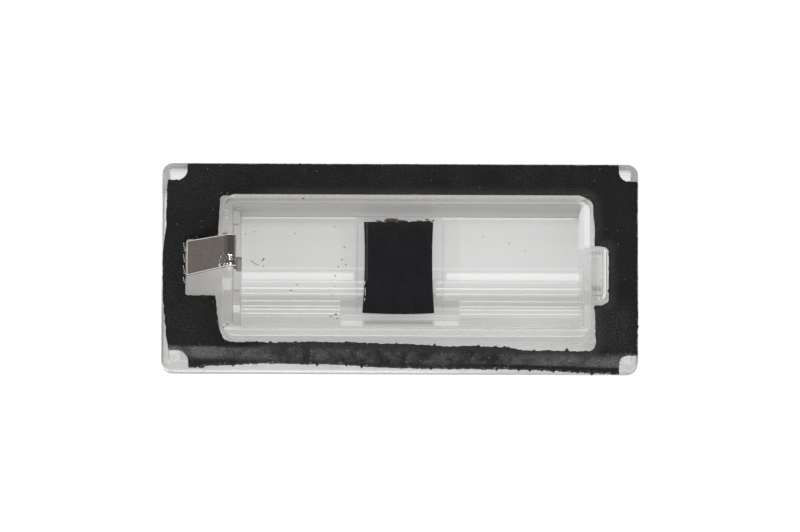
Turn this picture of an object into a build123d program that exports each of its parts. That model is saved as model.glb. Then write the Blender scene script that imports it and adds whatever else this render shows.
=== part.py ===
from build123d import *

import os
from math import cos, radians, sin, tan

# Number plate lamp lens in four pieces: a clear moulded lens, a foam gasket on its rim, a steel spring
# clip folded over one end wall and a black film that shades the middle of the window.
# Millimetres. The outer face lies on Z = 0 and the open back looks along +Z. +X runs along the lens
# towards the hook, and +Y runs across it, away from the prisms.

# Face plate and the skirt round it
LENS_LENGTH = 87.0
LENS_WIDTH = 38.2
LENS_CORNER = 2.0
FACE_ROUND = 0.8
PLATE = 2.0
SKIRT_WALL = 1.5
SKIRT_HEIGHT = 6.0

# Box that reaches through the body panel, with the width of flange left round its rim
CLIP_FLANGE = 11.35
HOOK_FLANGE = 8.95
HIGH_FLANGE = 7.15
LOW_FLANGE = 5.15
BOX_HEIGHT = 15.5
BOX_WALL = 1.85
HOOK_END_WALL = 1.4
BOX_CORNER = 2.4
CAVITY_CORNER = 0.7
BOX_DRAFT = 1.5
FLOOR_EDGE = 0.35
FLOOR_EDGE_RISE = 0.12
EDGE_ROUND = 0.25
LEDGE = 2.0

# Land in the middle of the floor, which carries the film; its foot is wider
LAND_WIDTH = 15.6
LAND_RISE = 0.4
LAND_SIDE_SLOPE = 0.25
LAND_FOOT_WIDTH = 21.8
LAND_FOOT_LENGTH = 3.2
LAND_END_GAP = 2.55
LAND_END_SLOPE = 0.85

# Black film, with its margins on the land
FILM_X = -0.15
FILM_MARGIN = 1.6
FILM_FLARE = 0.25
FILM_TOP_GAP = 1.2
FILM_FOOT_GAP = 0.35
FILM_THICKNESS = 0.3
FILM_WAIST = 0.15
FILM_BULGE = 0.2

# Prisms on the floor, in three banks: one large, three that run to the film and four beside the foot
PRISM_START = 1.05
LARGE_RUNS = (2.15,)
LARGE_CREST = 0.63
LARGE_BEVEL = 0.0
LARGE_RISE = 0.52
LARGE_GAP = 0.7
MIDDLE_RUNS = (1.25, 0.95, 1.35)
MIDDLE_CREST = 0.28
MIDDLE_BEVEL = 16.0
MIDDLE_RISE = 0.6
MIDDLE_GAP = 0.4
SMALL_RUNS = (0.95, 0.65, 0.75, 0.8)
SMALL_CREST = 0.22
SMALL_BEVEL = 16.0
SMALL_RISE = 0.35

# Spring clip: a strip with a leg inside the wall, a hairpin over it and a leaf that slopes outwards
CLIP_OFFSET = 2.4
CLIP_ROOT_WIDTH = 5.9
CLIP_TIP_WIDTH = 6.45
CLIP_THICKNESS = 0.4
CLIP_SLOPE = 38.0
CLIP_LEAF = 9.4
CLIP_TAB_WIDTH = 2.6
CLIP_TAB_LENGTH = 1.0
CLIP_TAB_OFFSET = -1.7
CLIP_CLEARANCE = 0.05
CLIP_SHELF_MARGIN = 0.8

# Seat of the clip: a thin low tongue in the end wall, with a rail and two posts inside it
TONGUE_WALL = 1.1
TONGUE_DROP = 0.6
TONGUE_RECESS = 2.6
TONGUE_ROUND = 0.5
TONGUE_SIDE_GAP = 0.35
RAIL_DEPTH = 1.3
RAIL_TOP = 11.0
POST_TOP = 13.6
POST_LENGTH = 2.5
POST_HIGH_GAP = 2.5
POST_LOW_GAP = 3.75

# Hook on the other end wall, a hollow bay with a flat underside
HOOK_OFFSET = -1.1
HOOK_WIDTH = 10.5
HOOK_REACH = 3.1
HOOK_WALL = 0.9
HOOK_SIDE_WALL = 1.35
HOOK_CLEARANCE = 0.4
HOOK_DROP = 1.5
HOOK_DRAFT = 4.0
HOOK_CORNER = 1.2
HOOK_FLOOR = 1.4

# Foam gasket: die cut, with a notch at each corner, one for the clip and one for the hook
GASKET_THICKNESS = 3.0
GASKET_TOP_INSET = 0.65
GASKET_HOOK_INSET = 0.35
GASKET_CLIP_INSET = 1.4
GASKET_BOW = 1.1
GASKET_LOW_INSETS = (0.75, 1.2, 0.4, 0.1)
GASKET_LOW_STATIONS = (-0.5, -0.22, 0.12, 0.5)
CORNER_NOTCH_X = 3.3
CORNER_NOTCH_Y = 2.9
CORNER_NOTCH_ROUND = 1.9
OPENING_CLIP_GAPS = (0.05, 1.15, 1.5, 0.4)
OPENING_HOOK_GAP = 1.0
OPENING_TOP_GAP = 1.0
OPENING_LOW_GAPS = (0.3, 1.7)
OPENING_CLIP_CORNER = 1.2
OPENING_HOOK_CORNER = 1.7
CLIP_NOTCH_TIP_GAP = 0.2
CLIP_NOTCH_HIGH_GAP = 0.35
CLIP_NOTCH_LOW_GAP = 3.85
HOOK_NOTCH_GAP = 0.25
NOTCH_ROUND = 0.8

# Box faces
half_length = LENS_LENGTH / 2
half_width = LENS_WIDTH / 2
half_wall = BOX_WALL / 2
half_end_wall = HOOK_END_WALL / 2
wall_left = CLIP_FLANGE - half_length
wall_right = half_length - HOOK_FLANGE
wall_high = half_width - HIGH_FLANGE
wall_low = LOW_FLANGE - half_width
box_length = wall_right - wall_left
box_width = wall_high - wall_low
box_x = (wall_left + wall_right) / 2
box_y = (wall_low + wall_high) / 2
inner_left = wall_left + BOX_WALL
inner_right = wall_right - HOOK_END_WALL
floor_shrink = (BOX_HEIGHT - PLATE) * tan(radians(BOX_DRAFT))
floor_high = wall_high - BOX_WALL - floor_shrink
floor_low = wall_low + BOX_WALL + floor_shrink
sunk = PLATE / 2

# Land, film and prisms
film_seat = PLATE + LAND_RISE
land_end = floor_low + LAND_END_GAP
land_edge = land_end + LAND_END_SLOPE
film_half = LAND_WIDTH / 2 - FILM_MARGIN
film_top = floor_high - FILM_TOP_GAP
film_foot = land_edge + FILM_FOOT_GAP
prism_banks = (
    (LARGE_RUNS, LARGE_CREST, LARGE_BEVEL, LARGE_RISE, LAND_WIDTH / 2 + LARGE_GAP),
    (MIDDLE_RUNS, MIDDLE_CREST, MIDDLE_BEVEL, MIDDLE_RISE, film_half + MIDDLE_GAP),
    (SMALL_RUNS, SMALL_CREST, SMALL_BEVEL, SMALL_RISE, LAND_FOOT_WIDTH / 2),
)

# Middle line of the clip's strip, from the foot of its leg over the tongue to the tip of its leaf
clip_y = box_y + CLIP_OFFSET
half_strip = CLIP_THICKNESS / 2
tongue_top = BOX_HEIGHT - TONGUE_DROP
tongue_left = inner_left - TONGUE_WALL
leg_lean = (BOX_HEIGHT - RAIL_TOP) * tan(radians(BOX_DRAFT))
leg_x = inner_left + leg_lean + CLIP_CLEARANCE + half_strip
leg_end = RAIL_TOP + CLIP_CLEARANCE
bend_radius = (leg_x - tongue_left + CLIP_CLEARANCE + half_strip) / 2
bend_x = leg_x - bend_radius
bend_z = tongue_top - TONGUE_ROUND
bend_turn = 90 + CLIP_SLOPE
leaf_x = bend_x + bend_radius * cos(radians(bend_turn))
leaf_z = bend_z + bend_radius * sin(radians(bend_turn))
tip_x = leaf_x - CLIP_LEAF * cos(radians(CLIP_SLOPE))
tip_z = leaf_z - CLIP_LEAF * sin(radians(CLIP_SLOPE))
clip_notch_depth = bend_x - tip_x + half_strip + CLIP_NOTCH_TIP_GAP
clip_notch_high = clip_y + CLIP_TIP_WIDTH / 2 + CLIP_NOTCH_HIGH_GAP
clip_notch_low = clip_y - CLIP_TIP_WIDTH / 2 - CLIP_NOTCH_LOW_GAP
clip_notch_y = (clip_notch_high + clip_notch_low) / 2
clip_notch_width = clip_notch_high - clip_notch_low

# Hook
hook_y = box_y + HOOK_OFFSET
hook_underside = SKIRT_HEIGHT + GASKET_THICKNESS + HOOK_CLEARANCE
hook_top = BOX_HEIGHT - HOOK_DROP

os.makedirs("parts", exist_ok=True)

with BuildPart() as lens:
    # Face plate and skirt in one block, with the edge of the outer face rounded over
    with BuildSketch():
        RectangleRounded(LENS_LENGTH, LENS_WIDTH, LENS_CORNER)
    extrude(amount=SKIRT_HEIGHT)
    fillet(lens.faces().sort_by(Axis.Z)[0].edges(), FACE_ROUND)

    # Channel between the skirt and the foot of the box, whose top is the ledge under the gasket. It is
    # left out under the clip's leaf, where a shelf joins the ledge to the skirt
    with BuildSketch(Plane.XY.offset(PLATE)):
        RectangleRounded(LENS_LENGTH - 2 * SKIRT_WALL, LENS_WIDTH - 2 * SKIRT_WALL, LENS_CORNER / 2)
        with Locations((box_x, box_y)):
            RectangleRounded(
                box_length + 2 * LEDGE, box_width + 2 * LEDGE, BOX_CORNER, mode=Mode.SUBTRACT
            )
        with Locations((wall_left, clip_notch_y)):
            Rectangle(
                CLIP_FLANGE,
                clip_notch_width + 2 * CLIP_SHELF_MARGIN,
                align=(Align.MAX, Align.CENTER),
                mode=Mode.SUBTRACT,
            )
    extrude(amount=SKIRT_HEIGHT - PLATE, mode=Mode.SUBTRACT)
    fillet(lens.edges().group_by(Axis.Z)[-1], EDGE_ROUND)

    # Box walls
    with BuildSketch(Plane.XY.offset(SKIRT_HEIGHT)):
        with Locations((box_x, box_y)):
            RectangleRounded(box_length, box_width, BOX_CORNER)
    extrude(amount=BOX_HEIGHT - SKIRT_HEIGHT)

    # Hook on the end wall, narrower towards the rim so that it finds its way through the panel
    hook_shrink = (hook_top - hook_underside) * tan(radians(HOOK_DRAFT))
    for level, shrink in ((hook_underside, 0), (hook_top, hook_shrink)):
        with BuildSketch(Plane.XY.offset(level)):
            with Locations((wall_right, hook_y)):
                RectangleRounded(2 * (HOOK_REACH - shrink), HOOK_WIDTH - 2 * shrink, HOOK_CORNER)
    loft()

    # Cavity, narrower at the floor by the moulding draft, with a sloping edge round the floor
    cavity_levels = (
        (PLATE, floor_shrink + FLOOR_EDGE),
        (PLATE + FLOOR_EDGE_RISE, floor_shrink),
        (BOX_HEIGHT, 0),
    )
    for level, shrink in cavity_levels:
        cavity_length = inner_right - inner_left - 2 * shrink
        cavity_width = box_width - 2 * (BOX_WALL + shrink)
        with BuildSketch(Plane.XY.offset(level)):
            with Locations(((inner_left + inner_right) / 2, box_y)):
                RectangleRounded(cavity_length, cavity_width, CAVITY_CORNER)
    loft(ruled=True, mode=Mode.SUBTRACT)
    fillet(lens.edges().group_by(Axis.Z)[-1], EDGE_ROUND)

    # Pocket that keeps the hook at one wall thickness
    with BuildSketch(Plane.XY.offset(hook_top)):
        with Locations((wall_right, hook_y)):
            Rectangle(
                HOOK_REACH - HOOK_WALL, HOOK_WIDTH - 2 * HOOK_SIDE_WALL, align=(Align.MIN, Align.CENTER)
            )
    extrude(amount=hook_underside + HOOK_FLOOR - hook_top, mode=Mode.SUBTRACT)

    # Rail and posts inside the clip's end wall
    with BuildSketch(Plane.XY.offset(sunk)):
        with Locations((inner_left - half_wall, box_y)):
            Rectangle(half_wall + RAIL_DEPTH, box_width - BOX_WALL, align=(Align.MIN, Align.CENTER))
    extrude(amount=RAIL_TOP - sunk)
    post_high = clip_y + CLIP_ROOT_WIDTH / 2 + POST_HIGH_GAP
    post_low = clip_y - CLIP_ROOT_WIDTH / 2 - POST_LOW_GAP - POST_LENGTH
    with BuildSketch(Plane.XY.offset(sunk)):
        with Locations((inner_left - half_wall, post_high), (inner_left - half_wall, post_low)):
            Rectangle(half_wall + RAIL_DEPTH, POST_LENGTH, align=(Align.MIN, Align.MIN))
    extrude(amount=POST_TOP - sunk)

    # Prisms, each a step with a bevelled crest and a long slope towards -Y, on both sides of the middle
    prism_y = box_y + PRISM_START
    for runs, crest, bevel, rise, end_x in prism_banks:
        step = rise - crest * tan(radians(bevel))
        for run in runs:
            for start_x, stop_x in ((inner_left - half_wall, -end_x), (end_x, inner_right + half_end_wall)):
                with BuildSketch(Plane.YZ.offset(start_x)):
                    with BuildLine():
                        Polyline(
                            (prism_y, sunk),
                            (prism_y, PLATE + step),
                            (prism_y - crest, PLATE + rise),
                            (prism_y - run, PLATE),
                            (prism_y - run, sunk),
                            close=True,
                        )
                    make_face()
                extrude(amount=stop_x - start_x)
            prism_y -= run

    # Land for the film: a low step with sloping sides that starts in the wall, wider at its foot, where
    # it slopes back to the floor
    foot_start = land_end + LAND_FOOT_LENGTH
    for land_width, land_start in ((LAND_WIDTH, wall_high - half_wall), (LAND_FOOT_WIDTH, foot_start)):
        land_base = land_width / 2 + LAND_SIDE_SLOPE
        with BuildSketch(Plane.XZ.offset(-land_start)):
            with BuildLine():
                Polyline(
                    (-land_base, sunk),
                    (-land_base, PLATE),
                    (-land_width / 2, film_seat),
                    (land_width / 2, film_seat),
                    (land_base, PLATE),
                    (land_base, sunk),
                    close=True,
                )
            make_face()
        extrude(amount=land_start - land_end)
    with BuildSketch(Plane.YZ):
        with BuildLine():
            Polyline((land_edge, film_seat), (land_end, PLATE), (land_end, film_seat), close=True)
        make_face()
    extrude(amount=LAND_FOOT_WIDTH, both=True, mode=Mode.SUBTRACT)

    # Tongue for the clip: the wall is cut thinner from outside and lower from above
    with BuildSketch(Plane.XZ.offset(-clip_y)):
        with BuildLine():
            Polyline(
                (wall_left - LEDGE, BOX_HEIGHT - TONGUE_RECESS),
                (tongue_left, BOX_HEIGHT - TONGUE_RECESS),
                (tongue_left, tongue_top),
                (inner_left + RAIL_DEPTH, tongue_top),
                (inner_left + RAIL_DEPTH, BOX_HEIGHT + sunk),
                (wall_left - LEDGE, BOX_HEIGHT + sunk),
                close=True,
            )
        make_face()
    extrude(amount=CLIP_TIP_WIDTH / 2 + TONGUE_SIDE_GAP, both=True, mode=Mode.SUBTRACT)
    tongue_edges = lens.edges().filter_by_position(Axis.Z, tongue_top, tongue_top)
    fillet(tongue_edges.group_by(SortBy.LENGTH)[-1], TONGUE_ROUND)
lens.part.label = "lens"
export_step(lens.part, "parts/lens.step")

with BuildPart() as gasket:
    # Outer cut: straight along the top and the hook's end, bowed at the clip's end, wavy along the bottom
    high_y = half_width - GASKET_TOP_INSET
    hook_x = half_length - GASKET_HOOK_INSET
    clip_x = -(half_length - GASKET_CLIP_INSET)
    low_points = [
        (station * (hook_x - clip_x) + (hook_x + clip_x) / 2, inset - half_width)
        for station, inset in zip(GASKET_LOW_STATIONS, GASKET_LOW_INSETS)
    ]
    with BuildSketch(Plane.XY.offset(SKIRT_HEIGHT)):
        with BuildLine():
            Polyline((clip_x, high_y), (hook_x, high_y), low_points[-1])
            Spline(*low_points)
            ThreePointArc(low_points[0], (clip_x - GASKET_BOW, 0), (clip_x, high_y))
        make_face()
        with Locations((clip_x, high_y), (hook_x, high_y), low_points[0], low_points[-1]):
            RectangleRounded(
                2 * CORNER_NOTCH_X, 2 * CORNER_NOTCH_Y, CORNER_NOTCH_ROUND, mode=Mode.SUBTRACT
            )
    extrude(amount=GASKET_THICKNESS)

    # Opening round the box
    with BuildSketch(Plane.XY.offset(SKIRT_HEIGHT)) as opening:
        with BuildLine():
            Polyline(
                (wall_left - OPENING_CLIP_GAPS[0], wall_high + OPENING_TOP_GAP),
                (wall_right + OPENING_HOOK_GAP, wall_high + OPENING_TOP_GAP),
                (wall_right + OPENING_HOOK_GAP, wall_low - OPENING_LOW_GAPS[1]),
                (wall_left - OPENING_CLIP_GAPS[3], wall_low - OPENING_LOW_GAPS[0]),
                (wall_left - OPENING_CLIP_GAPS[2], clip_notch_low),
                (wall_left - OPENING_CLIP_GAPS[1], clip_notch_high),
                close=True,
            )
        make_face()
        fillet(opening.vertices().filter_by_position(Axis.X, box_x, half_length), OPENING_HOOK_CORNER)
        fillet(opening.vertices().group_by(Axis.Y)[-1].sort_by(Axis.X)[0], OPENING_CLIP_CORNER)
        fillet(opening.vertices().sort_by_distance((wall_left, wall_low))[0], OPENING_CLIP_CORNER)
    extrude(amount=GASKET_THICKNESS, mode=Mode.SUBTRACT)

    # Notches for the clip and the hook
    with BuildSketch(Plane.XY.offset(SKIRT_HEIGHT)):
        with Locations((bend_x, clip_notch_y)):
            RectangleRounded(2 * clip_notch_depth, clip_notch_width, NOTCH_ROUND)
        with Locations((wall_right, hook_y)):
            RectangleRounded(
                2 * (HOOK_REACH + HOOK_NOTCH_GAP), HOOK_WIDTH + 2 * HOOK_NOTCH_GAP, HOOK_CORNER
            )
    extrude(amount=GASKET_THICKNESS, mode=Mode.SUBTRACT)
gasket.part.label = "gasket"
export_step(gasket.part, "parts/gasket.step")

with BuildPart() as spring_clip:
    # Strip bent in one piece
    with BuildSketch(Plane.XZ.offset(-clip_y)):
        with BuildLine():
            Line((leg_x, leg_end), (leg_x, bend_z))
            CenterArc((bend_x, bend_z), bend_radius, 0, bend_turn)
            Line((leaf_x, leaf_z), (tip_x, tip_z))
        trace(line_width=CLIP_THICKNESS)
    extrude(amount=CLIP_TIP_WIDTH / 2, both=True)

    # The strip is a little narrower at the bend than at the tip
    with BuildSketch(Plane((0, clip_y, 0))):
        with BuildLine():
            Polyline(
                (leg_x + CLIP_THICKNESS, CLIP_ROOT_WIDTH / 2),
                (bend_x, CLIP_ROOT_WIDTH / 2),
                (tip_x - CLIP_THICKNESS, CLIP_TIP_WIDTH / 2),
                (tip_x - CLIP_THICKNESS, -CLIP_TIP_WIDTH / 2),
                (bend_x, -CLIP_ROOT_WIDTH / 2),
                (leg_x + CLIP_THICKNESS, -CLIP_ROOT_WIDTH / 2),
                close=True,
            )
        make_face()
    extrude(amount=BOX_HEIGHT + PLATE, mode=Mode.INTERSECT)

    # Tab at the foot of the leg, turned out over the rail
    with BuildSketch(Plane.XY.offset(leg_end)):
        with Locations((leg_x - half_strip, clip_y + CLIP_TAB_OFFSET)):
            Rectangle(
                CLIP_THICKNESS + CLIP_TAB_LENGTH, CLIP_TAB_WIDTH, align=(Align.MIN, Align.CENTER)
            )
    extrude(amount=CLIP_THICKNESS)
spring_clip.part.label = "spring_clip"
export_step(spring_clip.part, "parts/spring_clip.step")

with BuildPart() as light_mask:
    # Film with a slight waist and a bowed foot, lying on the land
    with BuildSketch(Plane((FILM_X, 0, film_seat))):
        film_middle = (film_top + film_foot) / 2
        foot_half = film_half + FILM_FLARE
        waist_half = film_half - FILM_WAIST
        with BuildLine():
            Line((-film_half, film_top), (film_half, film_top))
            ThreePointArc((film_half, film_top), (waist_half, film_middle), (foot_half, film_foot))
            ThreePointArc((foot_half, film_foot), (0, film_foot - FILM_BULGE), (-foot_half, film_foot))
            ThreePointArc((-foot_half, film_foot), (-waist_half, film_middle), (-film_half, film_top))
        make_face()
    extrude(amount=FILM_THICKNESS)
light_mask.part.label = "light_mask"
export_step(light_mask.part, "parts/light_mask.step")
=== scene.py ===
import math

import bmesh
import bpy
from mathutils import Matrix, Vector, geometry, kdtree, noise


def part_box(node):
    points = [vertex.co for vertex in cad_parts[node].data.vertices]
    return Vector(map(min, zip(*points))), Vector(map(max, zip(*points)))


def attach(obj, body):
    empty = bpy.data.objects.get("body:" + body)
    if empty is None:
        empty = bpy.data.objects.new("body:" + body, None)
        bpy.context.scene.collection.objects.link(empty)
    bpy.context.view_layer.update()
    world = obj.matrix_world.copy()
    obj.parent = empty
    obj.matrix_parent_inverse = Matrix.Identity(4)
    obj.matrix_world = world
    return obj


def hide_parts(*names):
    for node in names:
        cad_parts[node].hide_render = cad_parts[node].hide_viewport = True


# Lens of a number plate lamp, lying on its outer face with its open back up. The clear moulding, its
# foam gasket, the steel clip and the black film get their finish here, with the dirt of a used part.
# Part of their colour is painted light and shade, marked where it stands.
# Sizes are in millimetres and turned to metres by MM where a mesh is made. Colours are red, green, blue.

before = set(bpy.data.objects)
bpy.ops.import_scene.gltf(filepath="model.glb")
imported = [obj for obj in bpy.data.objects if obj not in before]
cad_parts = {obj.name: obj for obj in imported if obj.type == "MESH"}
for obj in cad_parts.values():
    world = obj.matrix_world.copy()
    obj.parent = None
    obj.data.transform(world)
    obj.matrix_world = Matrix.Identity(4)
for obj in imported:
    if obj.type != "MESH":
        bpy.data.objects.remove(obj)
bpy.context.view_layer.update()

MM = 0.001
WELD = 0.002 * MM
SHARP = math.radians(50.0)

# Camera, at the photograph's angle and distance
CAMERA_TILT = math.radians(8.0)
CAMERA_ROLL = math.radians(0.23)
CAMERA_DISTANCE = 1.2
CAMERA_FOCAL = 296.1
CAMERA_SENSOR = 36.0
CAMERA_CLIP = 0.01
CAMERA_TARGET = Vector((0.0, 0.21 * MM, 6.0 * MM))

# Studio: a white floor a hair below the lens, grey surroundings and soft boxes round the object
FLOOR_HALF = 4.0
FLOOR_DROP = 0.1 * MM
FLOOR_COLOUR = (0.85, 0.85, 0.85)
FLOOR_GLOW = 0.57
WORLD_GREY = (0.14, 0.138, 0.136)
SOFT_BOXES = (
    # name, azimuth, elevation, distance, width, height, watts
    ("front_box", -90.0, 42.0, 0.85, 0.7, 0.4, 2.4),
    ("front_strip", -90.0, 60.0, 0.85, 0.5, 0.14, 0.9),
    ("back_box", 90.0, 36.0, 0.85, 0.7, 0.4, 2.0),
    ("back_strip", 90.0, 50.0, 0.85, 0.5, 0.12, 0.75),
    ("hook_side_box", 0.0, 45.0, 0.85, 0.6, 0.5, 1.7),
    ("clip_side_box", 180.0, 45.0, 0.85, 0.6, 0.5, 1.1),
    ("front_low_strip", -90.0, 14.0, 0.85, 0.6, 0.22, 0.5),
)
MATT_ONLY = ("hook_side_box", "clip_side_box")
# Grey flag beside the clip, which its leaf mirrors
FLAG_X = -150.0
FLAG_HEIGHT = 90.0
FLAG_HALF = 90.0
FLAG_GREY = (0.235, 0.219, 0.21)

# Levels and edges of the lens that its finish follows
PLATE_LEVEL = 2.0
FLOOR_TOP = PLATE_LEVEL + 1.0
WALL_FOOT = (2.3, 3.0)
LEDGE_LEVEL = 6.0
HOOK_LOW = 10.0
RAIL_LEVEL = 11.0
POST_LEVEL = 13.6
HOOK_HIGH = 14.2
RIM_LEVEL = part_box("lens")[1].z / MM
SKIRT_X = 42.0
SKIRT_Y = 17.6
HOOK_X = 34.6
# What each kind of surface of the lens lets through, there and back, and where marked, painted shade and
# light
PLASTIC_IOR = 1.53
PLASTIC_CLEAR = (1.0, 1.0, 0.995)
# Plate tints, painted shade and light: lighter towards the hook, darker near the far wall, over the ribs,
# the prisms and the land columns, and towards the low side
PLASTIC_PLATE = (0.685, 0.685, 0.68)
PLASTIC_HOOK_PLATE = (0.745, 0.745, 0.74)
PLASTIC_FAR_PLATE = (0.49, 0.49, 0.485)
PLASTIC_FAR_HOOK_PLATE = (0.63, 0.63, 0.625)
PLASTIC_RIBS = (0.65, 0.648, 0.64)
PLASTIC_PRISMS = (0.475, 0.472, 0.462)
PLASTIC_LOW_PLATE = (0.572, 0.567, 0.555)
PLASTIC_LOW_HOOK_PLATE = (0.645, 0.64, 0.627)
PLASTIC_LAND = (0.55, 0.55, 0.545)
# Painted shade: the film's shadow beside the land's foot and dark lines along the land's edges
PLASTIC_FOOT_SHADE = (0.34, 0.335, 0.32)
# Painted shade and light on the walls, ledge and rim: darker on the far and clip sides, lighter (the pale
# ones) on the low side and at the hook; the floor's edge is painted darker to dim its glint. The rail top is
# darker.
PLASTIC_WALL = (0.66, 0.646, 0.628)
PLASTIC_FLOOR_EDGE = (0.56, 0.56, 0.55)
PLASTIC_LEDGE = (0.43, 0.414, 0.39)
PLASTIC_PALE_LEDGE = (0.69, 0.684, 0.667)
PLASTIC_HOOK_LEDGE = (0.6, 0.592, 0.575)
PLASTIC_RIM = (0.4, 0.383, 0.363)
PLASTIC_HOOK_RIM = (0.465, 0.449, 0.427)
PLASTIC_CLIP_RIM = (0.47, 0.455, 0.434)
PLASTIC_PALE_RIM = (0.72, 0.712, 0.695)
PLASTIC_FAR_LIP = (0.53, 0.515, 0.495)
PLASTIC_RAIL = (0.49, 0.48, 0.465)
PLASTIC_HOOK = (0.95, 0.944, 0.934)
PLASTIC_SMUDGE = (0.38, 0.375, 0.365)
PLASTIC_SKIRT = (0.53, 0.523, 0.515)
PLASTIC_LOW_SKIRT = (0.57, 0.565, 0.557)
PLASTIC_CLIP_SKIRT = (0.82, 0.815, 0.81)
PLASTIC_LOW_POCKET = (0.76, 0.76, 0.75)
PLASTIC_FAR_POCKET = (0.96, 0.955, 0.955)
PLASTIC_POCKET_STAIN = (0.57, 0.567, 0.555)
PLASTIC_SOIL = (0.3, 0.285, 0.265)
PLASTIC_SHADE = (0.85, 0.85, 0.85)
# Its matt faces, whose pale colours also paint the light that comes through the plastic and the
# highlights on its rounded edges
FROST = (0.97, 0.97, 0.96)
WALL_FROST = (0.77, 0.752, 0.73)
WALL_FOOT_FROST = (0.87, 0.852, 0.83)
LOW_WALL_FROST = (0.84, 0.835, 0.825)
FAR_SKIRT_FROST = (0.56, 0.558, 0.548)
END_SKIRT_FROST = (0.66, 0.655, 0.655)
NEAR_FROST = (0.97, 0.962, 0.95)
# Share of a matt face's own direction in its shading; the rest looks up, as its fine facets do
FROST_TURN = 0.35
# Shrinks X for the noise that gives the low plate its long streaks
STREAK_STRETCH = (0.06, 1.0, 1.0)
# Spots of the lens: low x, low y, high x, high y, low z, high z, softness and strength.
# Polished, and left clear as painted light: the rim and the hook, the base beside the hook, the rim beside
# the clip, the rail and the floor on both sides of the film
POLISHED_AND_LIT = (
    (32.3, 2.2, 34.95, 10.2, LEDGE_LEVEL, RIM_LEVEL, 0.25, 1.0),
    (36.1, -4.2, 37.0, 1.7, HOOK_LOW, HOOK_HIGH, 0.25, 1.0),
    (32.8, 4.1, 35.1, 12.4, 0.0, 0.3, 0.3, 1.0),
    (36.0, -7.0, 38.5, 3.5, 0.0, 0.3, 0.3, 1.0),
    (-32.4, -5.9, -30.3, -3.3, POST_LEVEL, RIM_LEVEL, 0.4, 0.5),
    (-30.4, -9.2, -28.9, -7.7, RAIL_LEVEL, POST_LEVEL, 0.15, 1.0),
    (-10.9, -10.4, -6.7, -9.2, PLATE_LEVEL, FLOOR_TOP, 0.25, 1.0),
    (6.2, -10.4, 10.9, -9.2, PLATE_LEVEL, FLOOR_TOP, 0.25, 1.0),
)
# Painted highlight lines, left clear, along the step of the plate, the foot of the land and the low floor
HIGHLIGHT_LINES = (
    (-40.0, 0.1, 40.0, 0.55, 0.0, 4.0, 0.15, 0.3),
    (-10.8, -8.7, 10.8, -8.2, 0.0, 4.0, 0.15, 0.5),
    (-29.0, -8.74, 31.0, -8.56, PLATE_LEVEL, FLOOR_TOP, 0.08, 0.45),
    (-29.0, -10.2, 31.0, -10.0, PLATE_LEVEL, FLOOR_TOP, 0.08, 0.45),
)
# Painted shadow of the film on the plate beside the land's foot
FILM_SHADOW_SPOT = (-6.7, -10.2, 6.2, -9.15, PLATE_LEVEL, FLOOR_TOP, 0.4, 1.0)
SMUDGE = (34.4, -5.4, 37.0, -3.5, HOOK_LOW, HOOK_HIGH, 0.8, 1.0)

# Foam gasket: spacing of its mesh, rounding of its cut edges and the slope of its low strip
FOAM_STEP = 0.16
FOAM_GRID = 0.42
FOAM_GAP = 0.12
FOAM_INSETS = (0.14, 0.32)
FOAM_EDGE_ROUND = 0.45
FOAM_EDGE_DROP = 0.28
FOAM_SINK = 0.06
FOAM_LOW_START = -15.0
FOAM_LOW_END = -19.0
FOAM_LOW_DROP = 0.8
FOAM_LOW_CURVE = 1.6
FOAM_SIDES = (0.0, 0.3, 0.65, 0.9, 1.0)
FOAM_BULGE = 0.05
FOAM_FRINGE = 0.14
FOAM_SKIN = 0.2
FOAM_FRAY = 0.1
FOAM_FRAY_LOW = 0.24
FOAM_CUT = 0.2
FOAM_SQUARE = 0.7
FOAM_SQUARE_X = -28.0
FOAM_CLIP_Y = 5.0
FOAM_FAR_Y = 12.95
# Reach of the wear and painted highlight along the opening's edge
FOAM_EDGE_SHEEN_REACH = 1.7
# Waves of its face and of its torn edges: height and how many to a millimetre
FOAM_LUMPS = ((0.05, 0.3), (0.025, 1.4))
FOAM_TATTERS = ((1.0, 0.9), (0.5, 2.7))
FRAY_WAVES = ((0.4, 0.4), (0.4, 1.1), (0.5, 2.6))
NICK_OFTEN = 1.5
NICK_SHIFT = Vector((31.0, 7.0, 2.0))
NICK_START = 0.28
NICK_SIZE = 4.0
# How far its edges wander: by x along the low strip, by y at both ends and round the hook's notch
LOW_OPENING_CUT = (
    (-29.0, 0.17), (-24.0, 0.14), (-18.0, 0.38), (-10.0, 0.57), (-2.0, 0.47), (1.0, 0.5), (9.0, 0.22),
    (12.0, 0.4), (17.4, 0.38), (20.0, 0.28), (22.5, -0.15), (34.0, -0.05),
)
LOW_OUTER_CUT = (
    (-37.5, -0.44), (-34.5, -0.26), (-29.0, -0.18), (-24.0, 0.2), (-20.0, 0.0), (-10.0, 0.0), (-6.0, -0.18),
    (3.0, -0.22), (10.0, -0.04), (15.0, 0.06), (21.0, 0.22), (28.5, 0.05), (34.0, -0.25), (39.5, -0.45),
)
CLIP_END_CUT = (
    (-15.0, 0.4), (-13.5, 0.18), (-9.0, 0.13), (-6.5, 0.0), (2.0, 0.0), (4.2, 0.16), (7.2, 0.46),
    (9.0, 0.3), (12.0, 0.22), (14.3, 0.07),
)
HOOK_END_CUT = ((-14.0, 0.2), (-10.0, 0.1), (-8.0, 0.0), (7.5, 0.0), (9.5, -0.2), (12.0, -0.35))
HOOK_NOTCH_ENDS = (
    (-10.0, 0.0), (-7.9, 0.65), (-7.5, 0.65), (-5.5, 0.0), (0.5, 0.0), (2.5, 0.5), (3.6, 0.5), (6.0, 0.0),
)
HOOK_NOTCH_CUT = 0.18
TOP_OPENING_CUT = -0.12
TOP_OUTER_CUT = 0.11
HOOK_OUTER_CUT = 0.1
LOW_NOTCH_CUT = 0.75
# Corners of its opening beside the clip: middle, reach and how far the cut moves
OPENING_CORNERS = ((-31.9, 12.0, 1.5, 0.05, 0.5), (-32.3, -13.9, 1.8, 0.25, 0.18))
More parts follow.
